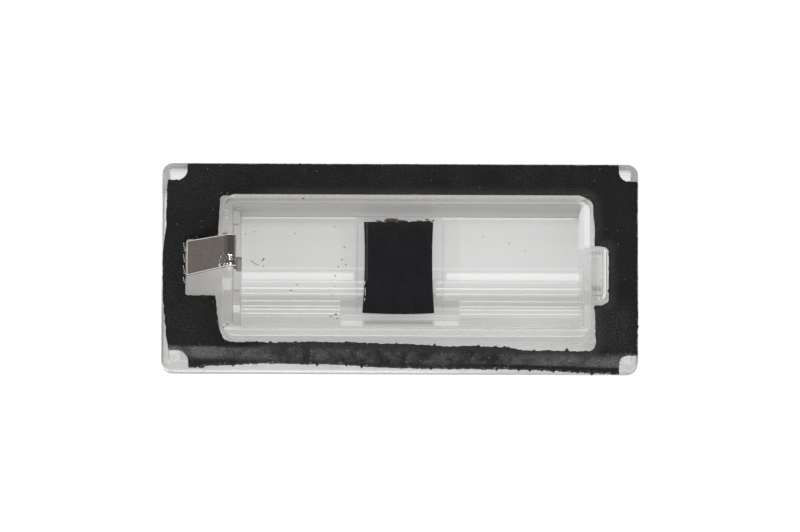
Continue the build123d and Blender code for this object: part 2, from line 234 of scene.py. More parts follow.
# Its colours, and how much the crown of its low strip turns off the X axis. The crown's colour and the
# lighter band along the opening are wear with painted sheen and painted highlight.
FOAM_DARK = (0.016, 0.0158, 0.016)
FOAM_PALE = (0.0315, 0.0313, 0.0315)
FOAM_PORE = (0.005, 0.005, 0.0052)
FOAM_HOOK_END = (0.012, 0.012, 0.012)
FOAM_SCUFFED = (0.042, 0.0415, 0.042)
FOAM_CROWN_WEAR_AND_SHEEN = (0.12, 0.119, 0.122)
FOAM_CROWN_TURN = 0.026
FOAM_EDGE_WEAR_AND_SHEEN = (0.055, 0.054, 0.055)
FOAM_DUST = (0.4, 0.39, 0.38)
FOAM_TORN = (0.62, 0.6, 0.58)
ADHESIVE_DULL = (0.55, 0.54, 0.52)
ADHESIVE_PALE = (0.75, 0.74, 0.72)

# Steel clip: one strip from the foot of its leg over the wall to the tip of its leaf
CLIP_STRIP = 0.4
CLIP_EDGE = 0.1
CLIP_EDGE_REACH = 0.25
CLIP_TAB = 1.0
CLIP_TAB_WIDTH = 2.6
CLIP_TAB_OFFSET = -1.7
CLIP_TAB_BEVEL = 0.07
CLIP_TAB_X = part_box("spring_clip")[1].x / MM - CLIP_TAB
CLIP_ROOT_WIDTH = 5.9
CLIP_TIP_WIDTH = 6.45
CLIP_LEG = 3.35
CLIP_BEND = 0.859
CLIP_SLOPE = math.radians(38.0)
CLIP_LEAF = 9.4
CLIP_CUT = 0.4
CLIP_CREASE_WIDTH = 3.2
CLIP_CREASE_LENGTH = 2.2
CLIP_CREASE = 0.25
CLIP_CREASE_WAVES = ((1.0, 1.9), (0.7, 4.3))
CLIP_SKEW = (0.35, -0.4)
CLIP_LEG_STEPS = 12
CLIP_BEND_STEPS = 24
CLIP_LEAF_STEPS = 40
STEEL_STRETCH = (0.35, 6.0, 0.35)
STEEL_BRIGHT = (0.62, 0.6, 0.58)
STEEL_STAIN = (0.5, 0.475, 0.45)
# Painted shade on the bend
STEEL_BEND_SHADE = (0.46, 0.45, 0.44)
# Painted highlight along the cut edges, and a painted dark line at their very edge
STEEL_CUT_HIGHLIGHT = (0.92, 0.91, 0.9)
STEEL_CUT_EDGE_SHADE = (0.08, 0.075, 0.07)
STEEL_TAB = (0.36, 0.34, 0.32)
STEEL_TAB_STAIN = (0.2, 0.185, 0.17)

# Black film
FILM_STEP = 0.3
FILM_GRID = 0.6
FILM_GAP = 0.2
FILM_FRAY = 0.03
FILM_SPREAD = 0.28
FILM_SINK = 0.03
FILM_LIFT = 0.02
FILM_EDGE = 0.15
FILM_SIDES = (0.0, 0.5, 1.0)
FILM_BLACK = (0.0118, 0.0124, 0.0142)
FILM_SMEAR = (0.0136, 0.0142, 0.0158)
FILM_CURL = (0.06, 0.056, 0.052)
FILM_DUST = (0.3, 0.3, 0.3)

# Dirt that lies on the lens: place, length, width and turn in degrees
FLAKE_SIZE = 0.8
FLAKE_UNEVEN = 0.2
DARK_FLAKES = (
    (-28.3, 6.5, 0.3, 0.2, 20), (-26.7, 7.0, 0.4, 0.15, -15), (-19.2, 6.7, 0.3, 0.2, 70),
    (-12.0, 7.9, 0.35, 0.2, 60), (-10.2, 4.2, 0.35, 0.25, 10), (-27.05, 1.5, 0.75, 0.14, -42),
    (-26.55, 1.1, 0.7, 0.16, -34), (-26.05, 0.88, 0.6, 0.14, -8), (-25.0, 0.6, 0.3, 0.2, 0),
    (-10.6, 1.9, 0.4, 0.25, 80), (-9.9, 1.0, 0.35, 0.25, 30), (-11.3, 0.6, 0.45, 0.2, 75),
    (-11.9, -1.1, 0.45, 0.25, 100), (-18.8, -2.7, 0.35, 0.25, 40), (-19.9, -3.8, 0.45, 0.3, 5),
    (-11.9, -3.1, 0.35, 0.25, 60), (-12.4, -4.6, 0.35, 0.2, 120), (15.2, 6.2, 0.3, 0.2, 10),
    (20.0, 5.0, 0.3, 0.2, 50), (22.9, 3.7, 0.25, 0.2, 0), (-11.4, -8.95, 0.45, 0.2, 15),
)
RUST_FLAKES = (
    (-24.95, 1.95, 0.55, 0.35, 60), (-25.2, 1.65, 0.3, 0.2, 10), (-11.7, -8.2, 0.6, 0.25, 0),
    (-12.6, -8.55, 0.6, 0.2, 10),
)
RIM_FLAKES = ((-31.2, -11.9, 0.5, 0.35, 20), (-31.8, -12.4, 0.5, 0.25, 35), (-17.6, 11.2, 0.8, 0.25, 15))
# Dry glue along the upper edge of the film
GLUE_FLAKES = (
    (-1.6, 9.12, 3.4, 0.75, 2), (0.4, 8.98, 2.6, 0.55, -3), (-1.5, 9.42, 3.0, 0.2, 0),
    (2.4, 8.85, 1.8, 0.35, 2), (3.6, 8.95, 1.6, 0.5, -4), (4.9, 8.9, 1.9, 0.5, 5),
    (4.95, 9.3, 0.8, 0.3, 0), (6.0, 9.1, 0.7, 0.3, 20), (-3.9, 9.0, 1.4, 0.3, -6),
)
# Painted glints on marks of the rim beside the clip, threads of foam along the notch for it and painted
# glints along a lifted edge of the film
RIM_GLINT_MARKS = (
    (-31.6, 9.78, 0.6, 0.2, 8), (-31.5, 8.95, 0.7, 0.24, -5), (-31.55, 8.4, 0.6, 0.24, 4),
    (-31.5, 7.6, 0.85, 0.3, 0),
)
NOTCH_X = -39.3
NOTCH_THREADS = tuple(
    (NOTCH_X + 0.1 * math.sin(5.0 * k), 4.2 - 0.42 * k, 0.25 + 0.12 * (k % 3), 0.22, 60 + 35 * k)
    for k in range(19) if k % 5
)
# Painted glints along the lifted edge of the film
FILM_GLINTS = ((-6.45, -2.5, 1.1, 0.2, 78), (-6.35, -4.1, 2.2, 0.16, 90), (-6.45, -5.5, 0.6, 0.2, 105))
# Dark and pale colour of each kind of dirt; the pale one also paints glints
DARK_DIRT = ((0.1, 0.095, 0.09), (0.26, 0.24, 0.22))
RUST_DIRT = ((0.16, 0.06, 0.035), (0.34, 0.17, 0.12))
DRY_GLUE = ((0.045, 0.034, 0.03), (0.17, 0.135, 0.12))
PALE_THREADS_AND_GLINTS = ((0.7, 0.69, 0.67), (0.85, 0.84, 0.82))


def to_metres(points):
    return [Vector(p) * MM for p in points]


def new_object(name, data):
    made = bpy.data.objects.new(name, data)
    bpy.context.scene.collection.objects.link(made)
    return made


def new_piece(name, verts, faces, materials, node):
    """A mesh in the shared frame that rides with the lens. Points are in millimetres."""
    mesh = bpy.data.meshes.new(name)
    mesh.from_pydata(to_metres(verts), [], faces)
    mesh.validate()
    for material in materials:
        mesh.materials.append(material)
    mesh.shade_smooth()
    return place(new_object(name, mesh), node)


def place(piece, node=None):
    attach(piece, "root")
    if node:
        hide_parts(node)
    return piece


def mark_points(piece, name, amount):
    """Stores an amount at each point of a piece, found from its place in millimetres."""
    stored = piece.data.attributes.new(name, "FLOAT", "POINT")
    for i, vertex in enumerate(piece.data.vertices):
        stored.data[i].value = max(0.0, amount(vertex.co / MM))


# Node helpers


class Value:
    """What a node puts out. Masks are multiplied with *, and | takes the larger of two."""

    def __init__(self, node, output=0):
        self.tree = node.id_data
        self.socket = node.outputs[output]

    def calc(self, operation, other=0.0):
        return new_value(self.tree, "ShaderNodeMath", self, other, operation=operation)

    def __add__(self, other):
        return self.calc("ADD", other)

    def __mul__(self, other):
        return self.calc("MULTIPLY", other)

    def __or__(self, other):
        return self.calc("MAXIMUM", other)

    def __abs__(self):
        return self.calc("ABSOLUTE")


def feed(socket, value):
    """Links a socket to what another node puts out, or sets a plain value."""
    if isinstance(value, Value):
        value.tree.links.new(value.socket, socket)
    elif socket.type == "RGBA":
        socket.default_value = (*value, 1.0)
    else:
        socket.default_value = value


def new_node(tree, kind, *fed, **named):
    """Adds a node. Inputs are fed in order, or by name with spaces written as underscores;
    names in small letters are settings."""
    made = tree.nodes.new(kind)
    for name, value in named.items():
        if name.islower():
            setattr(made, name, value)
    for socket, value in zip(made.inputs, fed):
        feed(socket, value)
    for name, value in named.items():
        if not name.islower():
            feed(made.inputs[name.replace("_", " ")], value)
    return made


def new_value(tree, kind, *fed, output=0, **named):
    return Value(new_node(tree, kind, *fed, **named), output)


def vector_math(operation, first, *others, **named):
    return new_value(first.tree, "ShaderNodeVectorMath", first, *others, operation=operation, **named)


def parts(vector):
    """X, Y and Z of a vector."""
    made = new_node(vector.tree, "ShaderNodeSeparateXYZ", vector)
    return [Value(made, axis) for axis in range(3)]


def ramp(value, start, stop, low=0.0, high=1.0):
    """Smooth step of a value from low at start to high at stop."""
    return new_value(
        value.tree, "ShaderNodeMapRange", value, start, stop, low, high, interpolation_type="SMOOTHSTEP",
    )


def within(value, start, stop, soft):
    """One between start and stop, with soft ends."""
    return ramp(value, start, start + soft) * ramp(value, stop, stop - soft)


def largest(masks):
    top, *others = masks
    for mask in others:
        top = top | mask
    return top


def blend(share, first, second):
    """Mix of two colours, which are the node's inputs 6 and 7 and its output 2."""
    made = new_node(share.tree, "ShaderNodeMix", share, data_type="RGBA")
    feed(made.inputs[6], first)
    feed(made.inputs[7], second)
    return Value(made, 2)


def layered(tone, *coats):
    """A colour under several coats, each with its mask and its colour."""
    for mask, colour in coats:
        tone = blend(mask, tone, colour)
    return tone


def object_place(tree):
    """Object coordinates turned to millimetres."""
    return vector_math("SCALE", new_value(tree, "ShaderNodeTexCoord", output="Object"), Scale=1.0 / MM)


def grain(where, size, detail=3.0, rough=0.55):
    """Noise whose features are about size millimetres across."""
    return new_value(
        where.tree, "ShaderNodeTexNoise", output="Fac",
        Vector=where, Scale=1.0 / size, Detail=detail, Roughness=rough,
    )


def bumps(height, strength, depth):
    """Direction of a bumpy surface, depth in millimetres."""
    return new_value(height.tree, "ShaderNodeBump", Strength=strength, Distance=depth * MM, Height=height)


def stored(tree, name):
    """What mark_points stored."""
    return new_value(tree, "ShaderNodeAttribute", output="Fac", attribute_name=name)


def speck_group():
    """Dust specks: small round spots, of which the lot leaves some out."""
    made = bpy.data.node_groups.new("dust_specks", "ShaderNodeTree")
    made.interface.new_socket("Place", in_out="INPUT", socket_type="NodeSocketVector")
    for title in ("Spacing", "Size", "Cover"):
        made.interface.new_socket(title, in_out="INPUT", socket_type="NodeSocketFloat")
    made.interface.new_socket("Mask", in_out="OUTPUT", socket_type="NodeSocketFloat")
    given = made.nodes.new("NodeGroupInput")
    where, spacing, size, cover = (Value(given, title) for title in ("Place", "Spacing", "Size", "Cover"))
    scale = new_value(made, "ShaderNodeMath", 1.0, spacing, operation="DIVIDE")
    cells = new_node(made, "ShaderNodeTexVoronoi", Vector=where, Scale=scale)
    spot = ramp(Value(cells, "Distance") * spacing, size * 0.5, size, 1.0, 0.0)
    lot = new_value(made, "ShaderNodeSeparateColor", Value(cells, "Color"))
    new_node(made, "NodeGroupOutput", spot * lot.calc("LESS_THAN", cover))
    return made


def specks(group, where, spacing, size, cover):
    return new_value(where.tree, "ShaderNodeGroup", where, spacing, size, cover, node_tree=group)


def new_material(name):
    """A material with an empty tree."""
    made = bpy.data.materials.new(name)
    made.use_nodes = True
    made.node_tree.nodes.clear()
    return made, made.node_tree


def shaded(made, kind, *fed, **named):
    """The material with its last shader, which is its surface."""
    surface = new_value(made.node_tree, kind, *fed, **named)
    new_node(made.node_tree, "ShaderNodeOutputMaterial", surface)
    return made


# Finishes


def clear_plastic():
    """Clear moulded plastic: dull walls, mottled glue on rim and ledge, polished spots, a scuffed floor; its
    tints and pale matt faces paint shade and light, and its clear spots, lines and edges painted highlights.
    """
    made, tree = new_material("clear_plastic")
    where = object_place(tree)
    x, y, z = parts(where)
    direction = new_value(tree, "ShaderNodeNewGeometry", output="Normal")
    facing_x, facing_y, facing_z = parts(direction)
    far_x, far_y = abs(x), abs(y)

    def patch(low_x, low_y, high_x, high_y, low_z, high_z, soft, strength):
        across = within(x, low_x, high_x, soft) * within(y, low_y, high_y, soft)
        return across * within(z, low_z - 0.3, high_z + 0.3, 0.2) * strength

    # Where each kind of surface lies
    up = ramp(facing_z, 0.5, 0.9)
    wall = ramp(abs(facing_z), 0.75, 0.45)
    inside = ramp(far_x, 40.4, 39.9) * ramp(far_y, 17.0, 16.5)
    beyond = ramp(far_x, SKIRT_X + 0.02, SKIRT_X + 0.2) | ramp(far_y, SKIRT_Y + 0.02, SKIRT_Y + 0.2)
    skirt = beyond * up * ramp(z, 3.0, 5.7)
    low_side = ramp(y, 4.0, -4.0)
    hook_side = ramp(x, -20.0, 25.0)
    clip_side = ramp(x, -28.3, -28.6)
    above = ramp(z, LEDGE_LEVEL - 0.3, LEDGE_LEVEL - 0.1)
    ledge = within(z, LEDGE_LEVEL - 0.3, LEDGE_LEVEL + 0.3, 0.15) * up * inside
    rim = ramp(z, RIM_LEVEL - 0.5, RIM_LEVEL - 0.2) * up
    rail = clip_side * within(z, RAIL_LEVEL - 0.5, POST_LEVEL + 0.4, 0.2) * up
    hook = ramp(x, HOOK_X, HOOK_X + 0.1) * ramp(z, 8.5, 9.0)
    # the low side and the hook end, where walls, ledge and rim are painted lighter
    pale = ramp(y, -11.0, -12.3) | ramp(x, 31.5, 33.0)
    polished_and_lit = largest(patch(*spot) for spot in POLISHED_AND_LIT)
    highlight_lines = largest(patch(*line) for line in HIGHLIGHT_LINES)
    floor_edge = ramp(facing_y, -0.15, -0.25) * ramp(z, 2.3, 2.2) * ramp(y, 8.0, 8.5)

    # Matt faces: the far inner wall and the far half of its rim, the near outer wall with the edges above
    # and below it, the rounded edge at the hook's end, the low side and the far corners of the skirt, the
    # walls and the outer band of the hook, and the posts. Their pale colour also paints the light that comes
    # through the clear plastic, and on the rounded edges above the near wall and at the hook's end it paints
    # highlight lines.
    far_wall = wall * ramp(z, *WALL_FOOT) * within(y, 8.5, 13.0, 0.5)
    far_rim = rim * ramp(y, 10.9, 11.5) * ramp(y, 11.85, 11.7)
    end_wall = wall * ramp(z, *WALL_FOOT) * ramp(x, 31.5, 32.0) * ramp(facing_x, -0.6, -0.8)
    near_wall = wall * above * ramp(facing_y, -0.1, -0.35) * ramp(y, -10.5, -11.5)
    near_foot = within(z, LEDGE_LEVEL - 0.4, LEDGE_LEVEL + 0.7, 0.2) * inside * within(y, -14.6, -13.7, 0.15)
    near_lip = rim * within(y, -13.0, -12.3, 0.15)
    rounded = ramp(z, RIM_LEVEL - 0.35, RIM_LEVEL - 0.25) * within(facing_z, 0.25, 0.97, 0.1)
    near_edge = rounded * ramp(y, -13.3, -13.7)
    end_edge = rounded * ramp(x, 32.5, 32.9) * ramp(y, -0.5, 1.0, 0.5, 1.0)
    low_wall = beyond * low_side * ramp(facing_y, -0.25, -0.5) * (hook_side * hook_side | ramp(z, 3.8, 3.0))
    far_skirt = (
        beyond * ramp(y, 12.0, 14.0) * ramp(z, 4.4, 5.0) * ramp(facing_z, 0.05, 0.2)
        * (ramp(far_x, 41.9, 42.1) | ramp(y, 17.9, 18.1))
    )
    hook_band = hook * up * (ramp(x, 36.9, 37.1) | ramp(x, 36.6, 36.9) * ramp(y, -5.2, -6.0))
    post_side = clip_side * ramp(facing_y, -0.6, -0.8) * within(z, 10.8, 13.8, 0.2)
    frost_and_light = (
        far_wall * 0.7 | far_rim * 0.55 | near_wall * 0.8 | near_foot * 0.85 | near_lip * 0.33
        | low_wall * 0.85 | end_edge * 0.75 | near_edge * 0.9 | wall * hook * 0.75 | post_side * 0.85
        | far_skirt * 0.9 | hook_band * 0.6
    )

    # How dull each clear face is, and the lumps of glue
    scuff = ramp(grain(where, 2.2, 5.0, 0.7), 0.45, 0.75, 0.02, 0.09)
    dull_wall = wall * inside * ramp(end_wall, 0.0, 1.0, 0.3, 0.0)
    dull_rim = rim * ramp(pale, 0.0, 1.0, 0.35, 0.15)
    dull = scuff | dull_wall | dull_rim | ledge * 0.6 | rail * 0.3 | skirt * 0.3 | floor_edge * 0.17
    dull = dull * ramp(polished_and_lit, 0.0, 1.0, 1.0, 0.2)
    lumps = grain(where, 0.45, 4.0, 0.65) * (ledge | rim * 0.35)

    # Colour of the plate, from its ribs and prisms to the pockets in its corners. Its tints are painted
    # shade
    # and light: lighter towards the hook, darker near the far wall, over the ribs, the prisms and the land
    # columns, and darker towards the low side
    streaks = ramp(grain(vector_math("MULTIPLY", where, STREAK_STRETCH), 0.45, 3.0, 0.6), 0.35, 0.65)
    low_plate = blend(ramp(x, 10.0, 28.0), PLASTIC_LOW_PLATE, PLASTIC_LOW_HOOK_PLATE)
    land_edge = within(far_x, 7.55, 8.15, 0.2) * within(y, -7.5, 8.8, 0.3) * ramp(z, 1.5, 1.9)
    plate = layered(
        blend(hook_side, PLASTIC_PLATE, PLASTIC_HOOK_PLATE),
        (within(y, -4.6, -1.2, 0.7), PLASTIC_RIBS),
        (within(y, -7.1, -3.9, 0.5), PLASTIC_PRISMS),
        (ramp(y, -6.5, -7.5), blend(streaks * 0.25, low_plate, PLASTIC_HOOK_PLATE)),
        (ramp(y, 7.4, 9.8), blend(hook_side, PLASTIC_FAR_PLATE, PLASTIC_FAR_HOOK_PLATE)),
        (within(far_x, 5.0, 11.5, 1.2) * ramp(y, -7.0, -6.0) * 0.17, PLASTIC_LAND),
        # painted dark lines along the foot of the land's edges
        (land_edge * ramp(x, -4.0, 4.0, 0.6, 0.35), PLASTIC_FOOT_SHADE),
    )
    stains = ramp(grain(where, 1.3, 3.0, 0.6), 0.42, 0.68)
    low_pocket = blend(stains, PLASTIC_LOW_POCKET, PLASTIC_POCKET_STAIN)
    plate = blend(inside, blend(low_side, PLASTIC_FAR_POCKET, low_pocket), plate)

    # Colour of what stands on it, with painted shade and light: the walls, ledge and rim darker on the far
    # and clip sides and lighter on the low side and at the hook, and the floor's edge darker to dim its
    # glint.
    # The rail top is darker.
    low_end = ramp(x, 33.5, 34.5) * ramp(y, -4.0, -6.0)
    pale_ledge = blend(low_end, PLASTIC_PALE_LEDGE, PLASTIC_HOOK_LEDGE)
    rim_tone = layered(
        blend(hook_side, PLASTIC_RIM, PLASTIC_HOOK_RIM),
        (ramp(x, -28.0, -30.0), PLASTIC_CLIP_RIM),
        (within(y, 9.9, 10.9, 0.3), PLASTIC_FAR_LIP),
        (pale, PLASTIC_PALE_RIM),
    )
    skirt_tone = blend(low_side, PLASTIC_SKIRT, PLASTIC_LOW_SKIRT)
    clip_skirt = ramp(x, -41.0, -42.0) * within(y, -6.0, 16.0, 3.0)
    # crests of the prisms, partly left clear as painted highlight lines
    crest = ramp(facing_y, 0.06, 0.16) * up * within(z, 2.05, 3.4, 0.05) * within(y, -11.0, -3.0, 0.2)
    spots = ramp(grain(where, 0.35, 3.0, 0.6), 0.45, 0.72, 0.0, 0.45)
    soiled = ledge | rim * ramp(pale, 0.0, 1.0, 1.0, 0.3) | skirt | wall * inside * 0.5
    soiled = soiled * spots * ramp(polished_and_lit, 0.0, 1.0, 1.0, 0.0)
    tone = layered(
        plate,
        (wall * inside, blend(pale, PLASTIC_WALL, PLASTIC_PLATE)),
        (ledge, blend(pale, PLASTIC_LEDGE, pale_ledge)),
        (floor_edge, PLASTIC_FLOOR_EDGE),
        (rim, rim_tone),
        (rail, PLASTIC_RAIL),
        (skirt, blend(clip_skirt, skirt_tone, PLASTIC_CLIP_SKIRT)),
        (beyond * wall, PLASTIC_CLEAR),
        (hook, PLASTIC_HOOK),
        # painted shadow of the film beside the land's foot
        (patch(*FILM_SHADOW_SPOT), PLASTIC_FOOT_SHADE),
        # painted light and highlights: polished spots, highlight lines, the end wall and the prism crests
        # are left clear
        (polished_and_lit | highlight_lines | end_wall | crest * 0.6, PLASTIC_CLEAR),
        (patch(*SMUDGE) * ramp(grain(where, 0.9), 0.3, 0.55), PLASTIC_SMUDGE),
        (soiled, PLASTIC_SOIL),
    )
    clear = new_value(
        tree, "ShaderNodeBsdfPrincipled", Base_Color=tone, Roughness=dull, IOR=PLASTIC_IOR,
        Transmission_Weight=1.0, Normal=bumps(lumps, 0.5, 0.15),
    )

    # Colour and shading of the matt faces
    matt = layered(
        blend(near_wall, FROST, NEAR_FROST),
        (far_wall | far_rim, blend(ramp(z, 10.0, 4.0), WALL_FROST, WALL_FOOT_FROST)),
        (low_wall, LOW_WALL_FROST),
        (far_skirt, blend(ramp(y, 17.6, 16.4), FAR_SKIRT_FROST, END_SKIRT_FROST)),
        (soiled, PLASTIC_SOIL),
    )
    lifted = vector_math("MULTIPLY_ADD", direction, (FROST_TURN,) * 3, (0.0, 0.0, 1.0 - FROST_TURN))
    ground = new_value(tree, "ShaderNodeBsdfDiffuse", Color=matt, Normal=vector_math("NORMALIZE", lifted))
    finish = new_value(tree, "ShaderNodeMixShader", frost_and_light, clear, ground)

    # Light passes straight on to what the lens shades, and in part through thin walls that would go dark
    rays = tree.nodes.new("ShaderNodeLightPath")
    hook_gap = ledge * ramp(x, 35.5, 36.0)
    end_open = end_wall * ramp(y, 1.0, 3.0, 0.6, 1.0) | end_edge * ramp(y, 1.8, 2.4) | hook_gap * 0.75
    foot_open = near_wall * ramp(z, 9.3, 8.0, 0.12, 0.75) | near_foot * 0.6
    skirt_open = (
        within(z, 2.1, 6.2, 0.1) * ramp(y, 12.0, 14.0) * ramp(y, 18.1, 17.9) * ramp(far_x, 42.1, 42.0)
        * (ramp(far_y, 17.3, 17.5) | ramp(far_x, 41.7, 41.9)
           | ramp(far_y, 16.2, 16.5) * ramp(far_x, 40.6, 40.9))
    )
    straight = Value(rays, "Is Shadow Ray") | Value(rays, "Is Diffuse Ray") | end_open | foot_open
    let_through = new_value(tree, "ShaderNodeBsdfTransparent", Color=PLASTIC_SHADE)
    return shaded(made, "ShaderNodeMixShader", straight | skirt_open * 0.85, finish, let_through)


def gasket_foam(group):
    """Black closed-cell foam: fine pores, a rubbed crown with painted sheen along its low strip, a band of
    wear and painted highlight along the opening's edge, dust, pale torn edges.
    """
    made, tree = new_material("gasket_foam")
    where = object_place(tree)
    x, y, _ = parts(where)
    slant = y + x * FOAM_CROWN_TURN
    fade_in = ramp(x, -30.0, -20.0, -15.7, -14.7)
    fade_out = ramp(x, 8.0, 18.0, -18.7, -17.85)
    crown = ramp(slant, fade_in, -16.4) * ramp(slant, fade_out, -17.35)
    clip_end = ramp(x, -18.0, -26.0, 0.0, 0.45) + within(x, -39.0, -32.5, 2.0) * 0.6
    ends = clip_end | ramp(x, 18.0, 32.0, 0.0, 0.5)
    patches = ramp(grain(where, 4.5, 5.0, 0.7), 0.38, 0.6, 0.1, 0.85) + ends
    scratched = ramp(grain(where, 0.3, 3.0, 0.7), 0.35, 0.6, 0.45, 1.0)
    # wear and painted sheen where the crown of the low strip catches the light
    wear_and_sheen = crown * patches * scratched
    pores = grain(where, 0.28, 3.0, 0.75)
    cloud = ramp(grain(where, 6.0, 4.0, 0.6), 0.3, 0.7)
    lit = layered(
        blend(cloud, FOAM_DARK, FOAM_PALE),
        (ramp(x, 34.0, 38.0, 0.0, 0.5), FOAM_HOOK_END),
        (within(x, 34.0, 43.5, 3.0) * within(y, -17.0, -5.5, 4.0), FOAM_SCUFFED),
    )
    edge_wear_and_sheen = stored(tree, "wear_and_sheen") * ramp(x, -28.0, -22.0, 0.0, 0.8)
    fine = specks(group, where, 1.1, 0.13, 0.2)
    more = specks(group, where, 0.6, 0.13, crown * 0.4)
    fringe = stored(tree, "cut") * ramp(grain(where, 0.7, 3.0, 0.6), 0.57, 0.7)
    tone = layered(
        blend(ramp(pores, 0.36, 0.66), FOAM_PORE, lit),
        (wear_and_sheen * 0.8, FOAM_CROWN_WEAR_AND_SHEEN),
        (edge_wear_and_sheen * scratched, FOAM_EDGE_WEAR_AND_SHEEN),
        (fine * 0.4 | more * 0.5, FOAM_DUST),
        (fringe * 0.6, FOAM_TORN),
    )
    return shaded(
        made, "ShaderNodeBsdfPrincipled", Base_Color=tone, Roughness=ramp(wear_and_sheen, 0.0, 1.0, 0.85, 0.55),
        Specular_IOR_Level=0.3, Normal=bumps(pores, 0.8, 0.12),
    )


def foam_adhesive():
    """Pale adhesive skin on the underside of the foam."""
    made, tree = new_material("foam_adhesive")
    mottle = ramp(grain(object_place(tree), 0.8, 4.0, 0.6), 0.35, 0.7)
    tone = blend(mottle, ADHESIVE_DULL, ADHESIVE_PALE)
    return shaded(
        made, "ShaderNodeBsdfPrincipled", Base_Color=tone, Roughness=0.6, Normal=bumps(mottle, 0.3, 0.1),
    )


def clip_steel():
    """Rolled spring steel, faintly grained along the strip, with dull stains, painted shade on its bend and
    a painted highlight with a painted dark line along its cut edges.
    """
    made, tree = new_material("clip_steel")
    where = object_place(tree)
    x, _, _ = parts(where)
    stretched = new_value(tree, "ShaderNodeMapping", Vector=where, Scale=STEEL_STRETCH)
    rolled = grain(stretched, 0.8, 4.0, 0.6)
    stain = ramp(grain(where, 1.6, 5.0, 0.7), 0.4, 0.72)
    cut = stored(tree, "cut")
    sheared_glint = ramp(cut, 0.4, 0.6)
    grubby = ramp(x, CLIP_TAB_X - 0.1, CLIP_TAB_X)
    tone = layered(
        blend(stain, STEEL_BRIGHT, STEEL_STAIN),
        # painted shade on the bend
        (ramp(x, -32.1, -31.7), STEEL_BEND_SHADE),
        (sheared_glint, STEEL_CUT_HIGHLIGHT),
        (ramp(cut, 0.8, 0.9), STEEL_CUT_EDGE_SHADE),
        (grubby, blend(stain, STEEL_TAB, STEEL_TAB_STAIN)),
    )
    return shaded(
        made, "ShaderNodeBsdfPrincipled", Base_Color=tone,
        Metallic=ramp(sheared_glint, 0.0, 1.0, 1.0, 0.1) * ramp(grubby, 0.0, 1.0, 1.0, 0.1),
        Roughness=ramp(stain, 0.0, 1.0, 0.13, 0.24) | sheared_glint * 0.6, Normal=bumps(rolled, 0.12, 0.02),
    )


def mask_film(group):
    """Black satin film with faint smears, a few specks and a curled edge."""
    made, tree = new_material("mask_film")
    where = object_place(tree)
    x, y, _ = parts(where)
    smear = grain(where, 2.5, 5.0, 0.6)
    tone = layered(
        blend(ramp(smear, 0.35, 0.7), FILM_BLACK, FILM_SMEAR),
        (within(x, -6.3, -5.85, 0.12) * ramp(y, -2.4, -1.4), FILM_CURL),
        (specks(group, where, 2.4, 0.09, 0.12) * 0.3, FILM_DUST),
    )
    return shaded(
        made, "ShaderNodeBsdfPrincipled", Base_Color=tone, Roughness=ramp(smear, 0.35, 0.7, 0.26, 0.3),
        Specular_IOR_Level=0.4, Normal=bumps(grain(where, 0.9), 0.05, 0.05),
    )


def dirt(name, dark, pale):
    """Dry dirt with uneven colour, also used for painted glints."""
    made, tree = new_material(name)
    tone = blend(ramp(grain(object_place(tree), 0.25), 0.35, 0.65), dark, pale)
    return shaded(made, "ShaderNodeBsdfPrincipled", Base_Color=tone, Roughness=0.9)


def floor_white():
    """Matt white, with a glow for what the camera sees of it directly or through the lens."""
    made, tree = new_material("floor_white")
    matt = new_value(tree, "ShaderNodeBsdfDiffuse", Color=FLOOR_COLOUR)
    rays = tree.nodes.new("ShaderNodeLightPath")
    seen = largest(Value(rays, f"Is {kind} Ray") for kind in ("Camera", "Glossy", "Transmission"))
    glow = new_value(tree, "ShaderNodeEmission", Strength=seen * FLOOR_GLOW)
    return shaded(made, "ShaderNodeAddShader", matt, glow)


# Outlines taken from the flat CAD pieces


def sides_of(loop):
    return list(zip(loop, loop[1:] + loop[:1]))


def cap_loops(node):
    """Closed outlines of a flat node's upper face in millimetres, the longest first.
    The face lies to the left of the outer outline and of each opening."""
    flat = bmesh.new()
    flat.from_mesh(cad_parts[node].data)
    bmesh.ops.remove_doubles(flat, verts=flat.verts, dist=WELD)
    flat.verts.index_update()
    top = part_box(node)[1].z
    following = {}
    for face in flat.faces:
        if face.normal.z < 0.9 or abs(face.verts[0].co.z - top) > WELD:
            continue
        for loop in face.loops:
            if all(other.normal.z < 0.9 for other in loop.edge.link_faces if other is not face):
                following[loop.vert.index] = loop.link_loop_next.vert.index
    flat.verts.ensure_lookup_table()
    places = {i: flat.verts[i].co.xy / MM for i in following}
    flat.free()
    loops = []
    while following:
        at = min(following)
        loop = []
        while at in following:
            loop.append(places[at])
            at = following.pop(at)
        loops.append(loop)
    return sorted(loops, key=lambda loop: -sum((a - b).length for a, b in sides_of(loop)))


def resampled(loop, step):
    """The same closed outline with evenly spaced points."""
    sides = sides_of(loop)
    total = sum((b - a).length for a, b in sides)
    count = round(total / step)
    points = []
    done = 0.0
    for a, b in sides:
        length = (b - a).length
        while len(points) < count and len(points) * total / count < done + length:
            points.append(a.lerp(b, (len(points) * total / count - done) / length))
        done += length
    return points


def outward(loop, i, reach=2):
    """Direction out of the face at a point of its outline."""
    along = (loop[(i + reach) % len(loop)] - loop[i - reach]).normalized()
    return Vector((along.y, -along.x))


def step_up(value, start, stop):
    """Share of the way from start to stop, kept between none and all."""
    return min(1.0, max(0.0, (value - start) / (stop - start)))


def between(knots, at):
    """Value at a place on a line through knots of place and value."""
    for (a, low), (b, high) in zip(knots, knots[1:]):
        if at < b:
            return low + (high - low) * step_up(at, a, b)
    return knots[-1][1]


def waves(at, kinds):
    """Sum of noise of several heights and widths."""
    return sum(height * noise.noise(at * often) for height, often in kinds)


